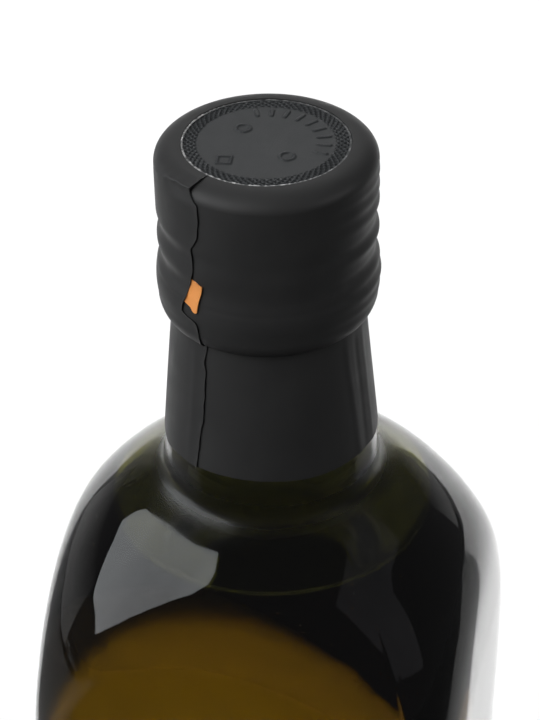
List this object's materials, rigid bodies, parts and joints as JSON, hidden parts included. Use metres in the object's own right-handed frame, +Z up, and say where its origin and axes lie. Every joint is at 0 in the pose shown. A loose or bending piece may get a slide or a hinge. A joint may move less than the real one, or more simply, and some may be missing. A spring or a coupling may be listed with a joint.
{
  "type": "olive oil bottle",
  "caption": "Square dark green glass bottle of olive oil with a domed shoulder, its cap sealed under a black shrink capsule with an embossed top disc and an orange tear tab.",
  "frame": {"origin": "middle of the foot, on the surface that the bottle stands on", "axes": "+Z up along the bottle's axis, -Y out of the front face"},
  "size_m": [0.0694, 0.0694, 0.287],
  "materials": {
    "bottle_glass": "smooth, dark green",
    "olive_oil": "clear, amber brown",
    "shrink_film": "satin black with fine wrinkles",
    "disc_film": "finely dotted, embossed",
    "tear_tape": "matte orange"
  },
  "bodies": {
    "root": {"bottle": "bottle_glass", "oil": "olive_oil", "capsule": "shrink_film", "top_disc": "disc_film", "tear_tab": "tear_tape"}
  },
  "joints": []
}
